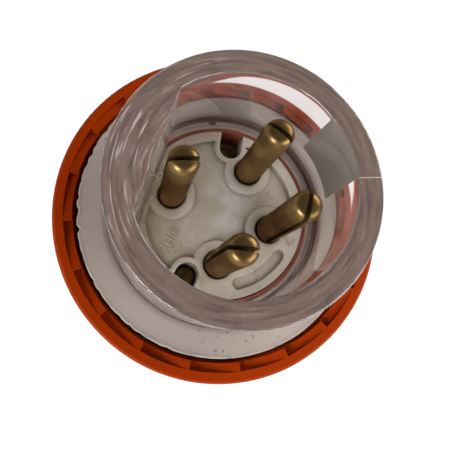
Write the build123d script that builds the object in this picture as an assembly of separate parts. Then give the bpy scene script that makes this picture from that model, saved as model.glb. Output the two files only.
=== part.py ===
from build123d import *
import os
from math import cos, degrees, radians, sin, tan

# Four-pin waterproof plug, standing on its gland nut with the pins pointing up.
# Lengths are in millimetres. The origin is the middle of the gland nut's flat end.
# The earth pin lies on the -X side and angles are counted from +X, seen from the pins.

# Pin carrier: a keyed insulator that slides into the housing from the front
CARRIER_R = 21.5
CARRIER_KEY_DEPTH = 3.05      # key flat inside the round
CARRIER_LENGTH = 27.0
CARRIER_FLOOR = 10.6          # solid front wall that grips the pins
CARRIER_CORNER_R = 1.2
CARRIER_FIT = 0.3             # gap all round between carrier and bore
POCKET_DEPTH = 1.0
LAND_WIDTH = 2.6              # raised land along the carrier's outer edge
COLLAR_WIDTH = 2.45           # raised collar round each pin hole
KIDNEY_WIDTH = 3.0            # closed pocket between two line pins
KIDNEY_SPREAD = 40.0          # its length, in degrees
KIDNEY_LAND = 2.0             # land outside the closed pocket
WEB_REACH = 5.0               # raised web reaches this far inwards from the pins' axes

# Pins: brass, split down the middle, each in one with its terminal barrel
PIN_R = 3.25
PIN_INSET = 8.5               # pins' axes lie this far inside the carrier's edge
PIN_REACH = 31.1              # tip above the carrier's face
PIN_DOME_HEIGHT = 2.3
PIN_CROWN_R = 0.7             # radius of the small flat on top of the dome
PIN_HOLE_GAP = 0.3
PIN_HOLE_STEP = 3.0           # depth of the wider part of the hole
PIN_NECK_R = 3.0              # turned groove where the pin leaves the carrier
PIN_NECK_LENGTH = 0.9
PIN_NECK_TOP = 0.5            # groove ends this far above the face
PIN_SLOT = 1.0
PIN_SLOT_STOP = 1.0           # slot ends this far above the face
PIN_SHANK_GRIP = 0.02         # gap where the carrier holds the pin
LINE_PIN_ANGLE = 75.0         # outer line pins lie this far from the middle one
PINS = {
    "earth_pin": (180.0, 20.0),
    "line_pin_1": (-LINE_PIN_ANGLE, 12.0),
    "line_pin_2": (0.0, -84.5),
    "line_pin_3": (LINE_PIN_ANGLE, -20.0),
}                             # place on the circle and direction of the slot

# Terminal barrels and their clamp screws
BARREL_R = 4.6
BARREL_GAP = 0.15
BARREL_CHAMFER = 0.4
WIRE_BORE_R = 2.6
WIRE_BORE_DEPTH = 12.0
WIRE_BORE_CONE = 1.0          # height of the drilled cone at its end
CLAMP_SCREW_R = 1.6
CLAMP_SCREW_START = 0.6       # screw's point lies this far from the barrel's axis
CLAMP_SCREW_STAND = 0.6       # screw stands this far out of the barrel
CLAMP_SCREW_HEIGHTS = (3.4, 9.6)    # above the barrel's end
CLAMP_ACCESS_R = 2.2
SCREW_SLOT = 0.6
SCREW_SLOT_DEPTH = 0.7

# Plate that keeps the pins in the carrier
RETAINER_INSET = 3.5          # its edge lies this far inside the carrier's
RETAINER_FLAT_INSET = 2.0     # its flat lies this far inside the carrier's
RETAINER_THICKNESS = 2.5
RETAINER_GAP = 0.15
RETAINER_WIRE_HOLE_R = 3.4
RETAINER_SCREW_R = 1.5
RETAINER_SCREW_GAP = 0.2
RETAINER_SCREW_LENGTH = 9.0
RETAINER_HEAD_R = 2.8
RETAINER_HEAD_HEIGHT = 1.6

# Two long slotted screws that hold the carrier in the housing
FIXING_INSET = 4.1            # screws' axes lie this far inside the carrier's edge
FIXING_ANGLE = 99.5
FIXING_HEAD_R = 2.6
FIXING_HEAD_HEIGHT = 2.0
FIXING_HEAD_ROUND = 0.5
FIXING_HEAD_SINK = 9.0        # head's seat below the face
FIXING_TUNNEL_R = 2.9
FIXING_COLLAR_R = 4.2
FIXING_SHANK_R = 1.6
FIXING_SHANK_GAP = 0.25
FIXING_GRIP = 9.0             # thread inside the housing's post
FIXING_POST_R = 3.9
FIXING_WEB = 2.4              # web between post and wall

# Clear skirt
SKIRT_ROOT_WALL = 3.85
SKIRT_BORE_TAPER = 1.4        # the bore is this much narrower at the rim, in radius
SKIRT_DEPTH = 32.1            # rim above the carrier's face
SKIRT_EDGE_R = 0.5
SKIRT_FLANGE_THICKNESS = 3.0
SKIRT_SEAT_GAP = 0.1
FACE_RISE = 2.4               # carrier's face above the skirt's seat

# Blank label on the skirt
LABEL_WIDTH = 16.0
LABEL_HEIGHT = 22.0
LABEL_BOTTOM = 8.0            # above the gasket's back
LABEL_THICKNESS = 0.2
LABEL_ANGLE = 40.5

# Round seal ring between the guide lip and the root of the skirt
SEAL_SECTION_R = 0.7
SEAL_GAP = 0.05

# Face gasket
GASKET_THICKNESS = 2.5
GASKET_LIP = 0.6
GASKET_LIP_HEIGHT = 0.35
GASKET_BORE_GAP = 0.1
GASKET_SIDE_GAP = 0.8         # between its edge and the ring's lip
GASKET_SINK = 0.8             # its top lies this far below the ring's front

# Rear housing
HOUSING_LENGTH = 67.7         # gland shoulder to the skirt's seat
HOUSING_WALL = 3.2
HOUSING_FLANGE_RISE = 2.4     # flange stands this far out of the neck
HOUSING_FLANGE_RIM = 0.7      # rim of the flange round the skirt's flange
HOUSING_FLANGE_THICKNESS = 3.0
BEAD_HEIGHT = 0.9
BEAD_LENGTH = 2.0
TUBE_WALL = 2.9               # inner tube that guides the carrier
GUIDE_LIP_WALL = 0.7          # thin lip of the tube that enters the skirt
GUIDE_LIP_RISE = 1.9          # lip stands this far above the skirt's seat
CORE_WIDTH = 4.0              # hollow between inner tube and neck
CORE_DEPTH = 20.0
CORE_RIBS = 8
CORE_RIB_WIDTH = 2.0
BELL_END_RISE = 5.5           # gland shoulder outside the spigot
BELL_FOOT = 2.0               # chamfer at the gland shoulder
BELL_WAIST = 2.2              # half way up, the bell is this much slimmer than the neck
BELL_WAIST_RISE = 5.0         # and that point lies this far above the middle
BELL_RIDGES = 18
BELL_RIDGE_WIDTH = 3.0
BELL_RIDGE_HEIGHT = 1.1
BELL_RIDGE_START = 5.0        # plain band at each end of the ridges
CAVITY_END_R = 12.0
CAVITY_CONE = 12.0            # height of the steep cone above the cable hole
CAVITY_SHOULDER = 30.0        # height where the wire space reaches its full width

# Coupling ring, free to turn on the neck
RING_WALL = 3.5               # wall outside the thread
RING_LENGTH = 28.0
RING_EDGE_R = 0.8
RING_END_CHAMFER = 1.5
RING_LIP_GAP = 1.2            # between the housing's flange and the ring's lip
RING_LIP_HEIGHT = 1.9
RING_THREAD_DEPTH = 1.0
RING_SHOULDER_HEIGHT = 11.0
RING_RUNNING_GAP = 0.3
RING_REST_GAP = 0.2
TRACK_STEPS = 20
TRACK_WIDTH = 2.0
TRACK_DEPTH = 1.6
TRACK_PHASE = 6.3             # angle of the first step
RING_FLUTES = 30
RING_FLUTE_R = 5.0
RING_FLUTE_DEPTH = 1.2
RING_SMOOTH_BAND = 6.0        # plain band behind the front edge

# Cable gland
SPIGOT_WALL = 4.3
SPIGOT_LENGTH = 14.0
SPIGOT_SEAT_DEPTH = 9.0
SPIGOT_BORE_GAP = 1.0         # between the largest cable and the housing's hole
NUT_LENGTH = 29.0
NUT_WALL = 3.45
NUT_TAPER = 3.0               # nut is this much slimmer at its end
NUT_TAPER_LENGTH = 9.0
NUT_EDGE = 1.0
NUT_HOLE_GAP = 1.5            # between the largest cable and the nut's hole
NUT_THREAD_GAP = 0.05
NUT_SHOULDER_GAP = 1.0        # between nut and housing shoulder
NUT_FLUTES = 12
NUT_FLUTE_R = 3.5
NUT_FLUTE_DEPTH = 1.2
NUT_FLUTE_START = 6.0
CABLE_R = 8.0                 # largest cable that the seal takes
SEAL_SLEEVE_WALL = 4.6
SEAL_SLEEVE_LENGTH = 12.0
SEAL_SLEEVE_CONE = 2.0
SEAL_SLEEVE_CONE_INSET = 1.5
SEAL_SLEEVE_GAP = 0.1
CLAW_FINGERS = 8
CLAW_SLIT = 1.2
CLAW_LENGTH = 9.0
CLAW_COLLAR = 2.0             # height of its solid collar
CLAW_WALL = 2.0
CLAW_TAPER = 0.6
CLAW_GAP = 0.7                # between the fingers and the nut
CLAW_BORE_GAP = 0.2
WASHER_THICKNESS = 1.2

# Radii worked out from the sizes above, from the axis outwards
CARRIER_FLAT = CARRIER_R - CARRIER_KEY_DEPTH
PIN_CIRCLE_R = CARRIER_R - PIN_INSET
WEB_INNER_R = PIN_CIRCLE_R - WEB_REACH
RETAINER_R = CARRIER_R - RETAINER_INSET
FIXING_CIRCLE_R = CARRIER_R - FIXING_INSET
BORE_ROOT_R = CARRIER_R + CARRIER_FIT
BORE_FLAT = CARRIER_FLAT + CARRIER_FIT
GUIDE_LIP_R = BORE_ROOT_R + GUIDE_LIP_WALL
SEAL_MEAN_R = GUIDE_LIP_R + SEAL_GAP + SEAL_SECTION_R
SKIRT_BORE_R = SEAL_MEAN_R + SEAL_SECTION_R + SEAL_GAP
SKIRT_R = SKIRT_BORE_R + SKIRT_ROOT_WALL
TUBE_R = BORE_ROOT_R + TUBE_WALL
NECK_R = TUBE_R + CORE_WIDTH + HOUSING_WALL
HOUSING_FLANGE_R = NECK_R + HOUSING_FLANGE_RISE
SKIRT_FLANGE_R = HOUSING_FLANGE_R - HOUSING_FLANGE_RIM - SKIRT_SEAT_GAP
RING_LIP_R = HOUSING_FLANGE_R + RING_LIP_GAP
RING_THREAD_R = RING_LIP_R + RING_THREAD_DEPTH
RING_R = RING_THREAD_R + RING_WALL
GASKET_R = RING_LIP_R - GASKET_SIDE_GAP
CLAW_BORE_R = CABLE_R + CLAW_BORE_GAP
CLAW_TIP_R = CLAW_BORE_R + CLAW_WALL
SEAL_SLEEVE_R = CABLE_R + SEAL_SLEEVE_WALL
SEAL_SEAT_R = SEAL_SLEEVE_R + SEAL_SLEEVE_GAP
SPIGOT_R = SEAL_SEAT_R + SPIGOT_WALL
BELL_END_R = SPIGOT_R + BELL_END_RISE
NUT_THREAD_R = SPIGOT_R + NUT_THREAD_GAP
NUT_R = NUT_THREAD_R + NUT_WALL
NUT_END_R = NUT_R - NUT_TAPER
NUT_HOLE_R = CABLE_R + NUT_HOLE_GAP

# Heights worked out from the sizes above
Z_SHOULDER = NUT_LENGTH + NUT_SHOULDER_GAP
Z_SEAT = Z_SHOULDER + HOUSING_LENGTH
Z_FACE = Z_SEAT + FACE_RISE
Z_RIM = Z_FACE + SKIRT_DEPTH
Z_FLANGE_TOP = Z_SEAT + SKIRT_FLANGE_THICKNESS
Z_GASKET_TOP = Z_FLANGE_TOP + GASKET_THICKNESS
Z_CARRIER_END = Z_FACE - CARRIER_LENGTH
Z_FLOOR = Z_FACE - CARRIER_FLOOR
Z_HEAD_SEAT = Z_FACE - FIXING_HEAD_SINK
Z_LIP_TOP = Z_SEAT + GUIDE_LIP_RISE
Z_RING_TOP = Z_GASKET_TOP + GASKET_SINK
Z_RING_END = Z_RING_TOP - RING_LENGTH
Z_BEAD_TOP = Z_RING_END - RING_REST_GAP
Z_BARREL_END = Z_CARRIER_END + RETAINER_THICKNESS + RETAINER_GAP
Z_SPIGOT_END = Z_SHOULDER - SPIGOT_LENGTH

FIXINGS = {"carrier_screw_1": FIXING_ANGLE, "carrier_screw_2": -FIXING_ANGLE}


def polar(radius, angle, z=0.0):
    """Point at a radius and an angle in degrees."""
    return (radius * cos(radians(angle)), radius * sin(radians(angle)), z)


def rod(radius, z0, z1, place=(0.0, 0.0)):
    """Upright cylinder between two heights."""
    height = z1 - z0
    return Pos(place[0], place[1], z0 + height / 2) * Cylinder(radius, height)


def tube(outer, inner, z0, z1):
    """Upright ring between two heights."""
    return rod(outer, z0, z1) - rod(inner, z0 - 1, z1 + 1)


def turned(points):
    """Solid of revolution about Z from a closed outline of (radius, height) points."""
    outline = Plane.XZ * make_face(Polyline(*points, close=True))
    return revolve(outline, Axis.Z)


def keyed(radius, flat, corner=CARRIER_CORNER_R):
    """Circle cut off by a flat on the -X side, with rounded corners."""
    shape = Circle(radius) & Pos(radius - flat, 0) * Rectangle(2 * radius, 4 * radius)
    return fillet(shape.vertices(), corner)


def bar(radius_from, radius_to, radius, angle, z):
    """Cylinder that lies along a radius."""
    length = radius_to - radius_from
    middle = radius_from + length / 2
    return Rot(0, 0, angle) * Pos(middle, 0, z) * Rot(0, 90, 0) * Cylinder(radius, length)


def save(solid, name):
    """Write one piece as its own file."""
    export_step(solid, "parts/" + name + ".step")


def front_shroud():
    """Clear skirt: keyed bore above the guide lip, round bore beside the seal, root flange."""
    z_root = Z_LIP_TOP + SKIRT_SEAT_GAP
    outside = rod(SKIRT_R, Z_SEAT, Z_RIM)
    outside = fillet(outside.edges().group_by(Axis.Z)[-1], SKIRT_EDGE_R)
    body = outside + rod(SKIRT_FLANGE_R, Z_SEAT, Z_FLANGE_TOP)
    slope = SKIRT_BORE_TAPER / (Z_RIM - Z_SEAT)
    body -= loft([
        Pos(0, 0, z_root) * keyed(SKIRT_BORE_R - slope * (z_root - Z_SEAT), BORE_FLAT),
        Pos(0, 0, Z_RIM + 1) * keyed(SKIRT_BORE_R - slope * (Z_RIM + 1 - Z_SEAT), BORE_FLAT),
    ])
    return body - rod(SKIRT_BORE_R, Z_SEAT - 1, z_root)


def shroud_label():
    """Blank label that follows the skirt's outside."""
    z0 = Z_FLANGE_TOP + LABEL_BOTTOM
    span = degrees(LABEL_WIDTH / SKIRT_R)
    strip = tube(SKIRT_R + LABEL_THICKNESS, SKIRT_R, z0, z0 + LABEL_HEIGHT)
    reach = 2 * SKIRT_R
    edge = reach * tan(radians(span / 2))
    wedge = make_face(Polyline((0, 0), (reach, -edge), (reach, edge), close=True))
    sector = Pos(0, 0, z0 - 1) * Rot(0, 0, LABEL_ANGLE) * extrude(wedge, LABEL_HEIGHT + 2)
    return strip & sector


def track_ramps():
    """Saw-tooth pockets: each drops at a step, then rises to the front face."""
    inner = RING_LIP_R - 1
    outer = RING_LIP_R + TRACK_WIDTH
    run = (RING_LIP_R + TRACK_WIDTH / 2) * sin(radians(360 / TRACK_STEPS))
    profile = Polyline((0, 0), (0, -TRACK_DEPTH), (run, 0), close=True)
    wedge = extrude(Plane.YZ * make_face(profile), 2 * RING_R)
    ramps = [
        Pos(0, 0, Z_RING_TOP) * Rot(0, 0, TRACK_PHASE + step * 360 / TRACK_STEPS) * wedge
        for step in range(TRACK_STEPS)
    ]
    band = tube(outer, inner, Z_RING_TOP - TRACK_DEPTH, Z_RING_TOP + 1)
    return [band & ramp for ramp in ramps]


def coupling_ring():
    """Ring with saw-tooth track, thread bore, inner shoulder and grip flutes."""
    z_thread = Z_RING_END + RING_SHOULDER_HEIGHT
    z_lip = Z_RING_TOP - RING_LIP_HEIGHT
    shoulder_r = NECK_R + RING_RUNNING_GAP
    body = turned([
        (shoulder_r, Z_RING_END),
        (RING_R - RING_END_CHAMFER, Z_RING_END),
        (RING_R, Z_RING_END + RING_END_CHAMFER),
        (RING_R, Z_RING_TOP),
        (RING_LIP_R, Z_RING_TOP),
        (RING_LIP_R, z_lip),
        (RING_THREAD_R, z_lip - RING_THREAD_DEPTH),
        (RING_THREAD_R, z_thread),
        (shoulder_r, z_thread),
    ])
    front = body.edges().filter_by(GeomType.CIRCLE).group_by(Axis.Z)[-1].sort_by(SortBy.RADIUS)[-1]
    body = fillet(front, RING_EDGE_R)
    z_band = Z_RING_TOP - RING_SMOOTH_BAND
    flute_circle = RING_R - RING_FLUTE_DEPTH + RING_FLUTE_R
    flutes = [
        rod(RING_FLUTE_R, Z_RING_END - 1, z_band, polar(flute_circle, turn * 360 / RING_FLUTES))
        for turn in range(RING_FLUTES)
    ]
    return body - flutes - track_ramps()


def face_gasket():
    """Rubber washer round the root of the skirt, with a raised outer lip."""
    bore = SKIRT_R + GASKET_BORE_GAP
    return turned([
        (bore, Z_FLANGE_TOP),
        (GASKET_R, Z_FLANGE_TOP),
        (GASKET_R, Z_GASKET_TOP),
        (GASKET_R - GASKET_LIP, Z_GASKET_TOP),
        (GASKET_R - 2 * GASKET_LIP, Z_GASKET_TOP - GASKET_LIP_HEIGHT),
        (bore, Z_GASKET_TOP - GASKET_LIP_HEIGHT),
    ])


def shroud_seal():
    """Round rubber ring that lies on the seat between guide lip and skirt."""
    return Pos(0, 0, Z_SEAT + SEAL_GAP + SEAL_SECTION_R) * Torus(SEAL_MEAN_R, SEAL_SECTION_R)


def face_pockets():
    """Sunk fields of the carrier's face, left open between the raised collars."""
    field = keyed(CARRIER_R - LAND_WIDTH, CARRIER_FLAT - LAND_WIDTH / 2)
    collar_r = PIN_R + PIN_HOLE_GAP + COLLAR_WIDTH
    for angle, _ in PINS.values():
        field -= Pos(*polar(PIN_CIRCLE_R, angle)) * Circle(collar_r)
    for angle in FIXINGS.values():
        field -= Pos(*polar(FIXING_CIRCLE_R, angle)) * Circle(FIXING_COLLAR_R)
    middle = -LINE_PIN_ANGLE / 2
    web = Polyline(
        polar(WEB_INNER_R, middle)[:2],
        polar(PIN_CIRCLE_R, -LINE_PIN_ANGLE)[:2],
        polar(FIXING_CIRCLE_R, -FIXING_ANGLE)[:2],
        polar(2 * CARRIER_R, -FIXING_ANGLE)[:2],
        polar(2 * CARRIER_R, middle)[:2],
        polar(CARRIER_R, 0)[:2],
        polar(PIN_CIRCLE_R - 1, 0)[:2],
        close=True,
    )
    field -= make_face(web)
    return extrude(field, POCKET_DEPTH + 1)


def kidney_pocket():
    """Closed, curved pocket between line pins 1 and 2."""
    mean_r = CARRIER_R - KIDNEY_LAND - KIDNEY_WIDTH / 2
    half = KIDNEY_SPREAD / 2
    middle = -LINE_PIN_ANGLE / 2
    spine = CenterArc((0, 0), mean_r, middle - half, KIDNEY_SPREAD)
    return extrude(SlotArc(spine, KIDNEY_WIDTH), POCKET_DEPTH + 1)


def retainer_outline(grow):
    """Outline of the rear plate, notched for the two fixing posts."""
    radius = RETAINER_R + grow
    flat = CARRIER_FLAT - RETAINER_FLAT_INSET + grow
    outline = Circle(radius) & Pos(radius - flat, 0) * Rectangle(2 * radius, 4 * radius)
    notch = FIXING_POST_R + CARRIER_FIT
    for angle in FIXINGS.values():
        outline -= Pos(*polar(FIXING_CIRCLE_R, angle)) * Circle(notch - grow)
    return outline


def pin_carrier():
    """Insulator with face relief, pin holes, terminal chambers and screw tunnels."""
    body = extrude(Pos(0, 0, Z_CARRIER_END) * keyed(CARRIER_R, CARRIER_FLAT), CARRIER_LENGTH)
    body -= Pos(0, 0, Z_FACE - POCKET_DEPTH) * face_pockets()
    body -= Pos(0, 0, Z_FACE - POCKET_DEPTH) * kidney_pocket()
    plate_top = Z_CARRIER_END + RETAINER_THICKNESS
    recess = extrude(retainer_outline(RETAINER_GAP), RETAINER_THICKNESS)
    body -= Pos(0, 0, Z_CARRIER_END) * recess
    for angle, _ in PINS.values():
        place = polar(PIN_CIRCLE_R, angle)
        body -= rod(PIN_R + PIN_SHANK_GRIP, Z_FLOOR - 1, Z_FACE, place)
        body -= rod(PIN_R + PIN_HOLE_GAP, Z_FACE - PIN_HOLE_STEP, Z_FACE + 1, place)
        body -= rod(BARREL_R + BARREL_GAP, plate_top - 1, Z_FLOOR, place)
        for height in CLAMP_SCREW_HEIGHTS:
            z = Z_BARREL_END + height
            body -= bar(PIN_CIRCLE_R, CARRIER_R + 1, CLAMP_ACCESS_R, angle, z)
    for angle in FIXINGS.values():
        place = polar(FIXING_CIRCLE_R, angle)
        body -= rod(FIXING_TUNNEL_R, Z_HEAD_SEAT, Z_FACE + 1, place)
        body -= rod(FIXING_SHANK_R + FIXING_SHANK_GAP, Z_CARRIER_END - 1, Z_HEAD_SEAT, place)
        mouth = Box(CARRIER_R, 2 * FIXING_TUNNEL_R, FIXING_HEAD_SINK)
        centre = FIXING_CIRCLE_R + CARRIER_R / 2
        body -= Rot(0, 0, angle) * Pos(centre, 0, Z_HEAD_SEAT + FIXING_HEAD_SINK / 2) * mouth
    body -= rod(RETAINER_SCREW_R, plate_top - 1, plate_top + RETAINER_SCREW_LENGTH)
    return body


def pin(angle, slot_angle):
    """Split pin with its domed tip, turned in one with its terminal barrel."""
    z_tip = Z_FACE + PIN_REACH
    z_dome = z_tip - PIN_DOME_HEIGHT
    z_wire = Z_BARREL_END + WIRE_BORE_DEPTH
    z_neck = Z_FACE + PIN_NECK_TOP
    z_step = Z_FLOOR - BARREL_GAP
    tip = Spline((PIN_R, z_dome), (PIN_CROWN_R, z_tip), tangents=[(0, 1), (-1, 0)])
    profile = tip + Polyline(
        (PIN_CROWN_R, z_tip),
        (0, z_tip),
        (0, z_wire),
        (WIRE_BORE_R, z_wire - WIRE_BORE_CONE),
        (WIRE_BORE_R, Z_BARREL_END),
        (BARREL_R - BARREL_CHAMFER, Z_BARREL_END),
        (BARREL_R, Z_BARREL_END + BARREL_CHAMFER),
        (BARREL_R, z_step),
        (PIN_R, z_step),
        (PIN_R, z_neck - PIN_NECK_LENGTH),
        (PIN_NECK_R, z_neck - PIN_NECK_LENGTH),
        (PIN_NECK_R, z_neck),
        (PIN_R, z_neck),
        (PIN_R, z_dome),
    )
    body = revolve(Plane.XZ * make_face(profile), Axis.Z)
    slot_length = z_tip - Z_FACE - PIN_SLOT_STOP
    slot = Box(3 * PIN_R, PIN_SLOT, slot_length + 1)
    body -= Rot(0, 0, slot_angle) * Pos(0, 0, z_tip + 0.5 - slot_length / 2) * slot
    for height in CLAMP_SCREW_HEIGHTS:
        body -= bar(0, BARREL_R + 1, CLAMP_SCREW_R, angle, Z_BARREL_END + height)
    return Pos(*polar(PIN_CIRCLE_R, angle)) * body


def terminal_screw(angle, height):
    """Slotted clamp screw that stands out of a terminal barrel."""
    start = PIN_CIRCLE_R + CLAMP_SCREW_START
    end = PIN_CIRCLE_R + BARREL_R + CLAMP_SCREW_STAND
    z = Z_BARREL_END + height
    body = bar(start, end, CLAMP_SCREW_R, angle, z)
    slot = Box(2 * SCREW_SLOT_DEPTH, SCREW_SLOT, 3 * CLAMP_SCREW_R)
    return body - Rot(0, 0, angle) * Pos(end, 0, z) * slot


def pin_retainer():
    """Plate behind the terminals with a hole for each wire."""
    plate = extrude(Pos(0, 0, Z_CARRIER_END) * retainer_outline(0.0), RETAINER_THICKNESS)
    for angle, _ in PINS.values():
        place = polar(PIN_CIRCLE_R, angle)
        plate -= rod(RETAINER_WIRE_HOLE_R, Z_CARRIER_END - 1, Z_FACE, place)
    return plate - rod(RETAINER_SCREW_R + RETAINER_SCREW_GAP, Z_CARRIER_END - 1, Z_FACE)


def retainer_screw():
    """Slotted screw in the middle of the rear plate."""
    z_head = Z_CARRIER_END - RETAINER_HEAD_HEIGHT
    head = rod(RETAINER_HEAD_R, z_head, Z_CARRIER_END)
    shank = rod(RETAINER_SCREW_R, Z_CARRIER_END, Z_CARRIER_END + RETAINER_SCREW_LENGTH)
    slot = Box(3 * RETAINER_HEAD_R, SCREW_SLOT, 2 * SCREW_SLOT_DEPTH)
    return head + shank - Pos(0, 0, z_head) * slot


def carrier_screw(angle):
    """Long slotted screw from the carrier's tunnel into the housing's post."""
    place = polar(FIXING_CIRCLE_R, angle)
    z_top = Z_HEAD_SEAT + FIXING_HEAD_HEIGHT
    head = rod(FIXING_HEAD_R, Z_HEAD_SEAT, z_top, place)
    head = fillet(head.edges().group_by(Axis.Z)[-1], FIXING_HEAD_ROUND)
    shank = rod(FIXING_SHANK_R, Z_CARRIER_END - FIXING_GRIP, Z_HEAD_SEAT, place)
    slot = Box(3 * FIXING_HEAD_R, SCREW_SLOT, 2 * SCREW_SLOT_DEPTH)
    return head + shank - Pos(place[0], place[1], z_top) * Rot(0, 0, angle) * slot


def bell_side(grow=0.0):
    """Curved outside of the bell from its foot up to the bead, grown by a thickness."""
    z_foot = Z_SHOULDER + BELL_FOOT
    z_bead = Z_BEAD_TOP - BEAD_LENGTH
    return Spline(
        (BELL_END_R + grow, z_foot),
        (NECK_R - BELL_WAIST + grow, (z_foot + z_bead) / 2 + BELL_WAIST_RISE),
        (NECK_R + grow, z_bead),
        tangents=[(0.25, 1.0), (0.02, 1.0)],
    )


def bell_ridges():
    """Grip ridges that follow the bell's curve and stop short of both its ends."""
    side = bell_side(BELL_RIDGE_HEIGHT)
    core = Polyline(side @ 1, (0, (side @ 1).Y), (0, (side @ 0).Y), side @ 0)
    grown = revolve(Plane.XZ * make_face(Wire([*side.edges(), *core.edges()])), Axis.Z)
    z0 = Z_SHOULDER + BELL_RIDGE_START
    z1 = Z_BEAD_TOP - BEAD_LENGTH - BELL_RIDGE_START
    rib = Pos(NECK_R, 0, (z0 + z1) / 2) * Box(2 * NECK_R - BELL_END_R, BELL_RIDGE_WIDTH, z1 - z0)
    ribs = [Rot(0, 0, turn * 360 / BELL_RIDGES) * rib for turn in range(BELL_RIDGES)]
    return [grown & one for one in ribs]


def rear_housing():
    """Orange body: flange, neck for the ring, inner tube, posts and gland spigot."""
    side = bell_side()
    foot = Line((BELL_END_R - BELL_FOOT, Z_SHOULDER), side @ 0)
    z_bead = Z_BEAD_TOP - BEAD_LENGTH
    bead_r = NECK_R + BEAD_HEIGHT
    z_flange = Z_SEAT - HOUSING_FLANGE_THICKNESS
    top = Polyline(
        side @ 1,
        (bead_r, z_bead + BEAD_HEIGHT),
        (bead_r, Z_BEAD_TOP),
        (NECK_R, Z_BEAD_TOP),
        (NECK_R, z_flange),
        (HOUSING_FLANGE_R, z_flange),
        (HOUSING_FLANGE_R, Z_FLANGE_TOP),
        (SKIRT_FLANGE_R + SKIRT_SEAT_GAP, Z_FLANGE_TOP),
        (SKIRT_FLANGE_R + SKIRT_SEAT_GAP, Z_SEAT),
        (GUIDE_LIP_R, Z_SEAT),
        (GUIDE_LIP_R, Z_LIP_TOP),
        (0, Z_LIP_TOP),
        (0, Z_SPIGOT_END),
        (SPIGOT_R, Z_SPIGOT_END),
        (SPIGOT_R, Z_SHOULDER),
        foot @ 0,
    )
    body = revolve(Plane.XZ * make_face(Wire([*foot.edges(), *side.edges(), *top.edges()])), Axis.Z)
    body += bell_ridges()
    body -= extrude(
        Pos(0, 0, Z_CARRIER_END - 1) * keyed(BORE_ROOT_R, BORE_FLAT), 2 * CARRIER_LENGTH
    )
    cavity = turned([
        (0, Z_SHOULDER),
        (CAVITY_END_R, Z_SHOULDER),
        (BELL_END_R - HOUSING_WALL, Z_SHOULDER + CAVITY_CONE),
        (BORE_ROOT_R, Z_SHOULDER + CAVITY_SHOULDER),
        (BORE_ROOT_R, Z_CARRIER_END - 1),
        (0, Z_CARRIER_END - 1),
    ])
    for angle in FIXINGS.values():
        cavity -= rod(FIXING_POST_R, Z_SHOULDER, Z_CARRIER_END, polar(FIXING_CIRCLE_R, angle))
        web = Box(CARRIER_R, FIXING_WEB, Z_CARRIER_END - Z_SHOULDER)
        middle = FIXING_CIRCLE_R + CARRIER_R / 2
        height = (Z_CARRIER_END + Z_SHOULDER) / 2
        cavity -= Rot(0, 0, angle) * Pos(middle, 0, height) * web
    body -= cavity
    for angle in FIXINGS.values():
        place = polar(FIXING_CIRCLE_R, angle)
        post = rod(FIXING_POST_R, Z_CARRIER_END - FIXING_GRIP / 2, Z_CARRIER_END, place)
        body += post
        body -= rod(FIXING_SHANK_R, Z_CARRIER_END - FIXING_GRIP - 2, Z_CARRIER_END + 1, place)
    core = tube(NECK_R - HOUSING_WALL, TUBE_R, Z_SEAT - CORE_DEPTH, Z_SEAT)
    for turn in range(CORE_RIBS):
        rib = Box(NECK_R, CORE_RIB_WIDTH, CORE_DEPTH + 2)
        core -= Rot(0, 0, (turn + 0.5) * 360 / CORE_RIBS) * Pos(NECK_R / 2, 0, Z_SEAT - CORE_DEPTH / 2) * rib
    body -= core
    body -= rod(CABLE_R + SPIGOT_BORE_GAP, Z_SPIGOT_END - 1, Z_SHOULDER + 1)
    body -= rod(SEAL_SEAT_R, Z_SPIGOT_END - 1, Z_SPIGOT_END + SPIGOT_SEAT_DEPTH)
    return body


def gland_stack():
    """Heights of the seal, the claw and the washer between spigot seat and nut end."""
    seal_top = Z_SPIGOT_END + SPIGOT_SEAT_DEPTH
    seal_end = seal_top - SEAL_SLEEVE_LENGTH
    washer_end = seal_end - WASHER_THICKNESS
    return seal_top, seal_end, washer_end


def gland_seal():
    """Rubber sleeve squeezed round the cable."""
    seal_top, seal_end, _ = gland_stack()
    return turned([
        (CABLE_R, seal_end),
        (SEAL_SLEEVE_R, seal_end),
        (SEAL_SLEEVE_R, seal_top - SEAL_SLEEVE_CONE),
        (SEAL_SLEEVE_R - SEAL_SLEEVE_CONE_INSET, seal_top),
        (CABLE_R, seal_top),
    ])


def gland_washer():
    """Slip washer that lets the nut turn without twisting the seal."""
    _, seal_end, washer_end = gland_stack()
    return tube(SEAL_SLEEVE_R, CLAW_BORE_R, washer_end, seal_end)


def gland_claw():
    """Ring of fingers that bites on the cable below the washer."""
    _, _, washer_end = gland_stack()
    z0 = washer_end - CLAW_LENGTH
    body = turned([
        (CLAW_BORE_R, z0),
        (CLAW_TIP_R - CLAW_TAPER, z0),
        (CLAW_TIP_R + CLAW_TAPER, z0 + CLAW_LENGTH * 0.6),
        (SEAL_SLEEVE_R, washer_end - CLAW_COLLAR),
        (SEAL_SLEEVE_R, washer_end),
        (CLAW_BORE_R, washer_end),
    ])
    slit = Pos(0, 0, z0 + CLAW_LENGTH / 2 - CLAW_COLLAR) * Box(4 * CABLE_R, CLAW_SLIT, CLAW_LENGTH)
    for turn in range(CLAW_FINGERS // 2):
        body -= Rot(0, 0, turn * 360 / CLAW_FINGERS) * slit
    return body


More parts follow.
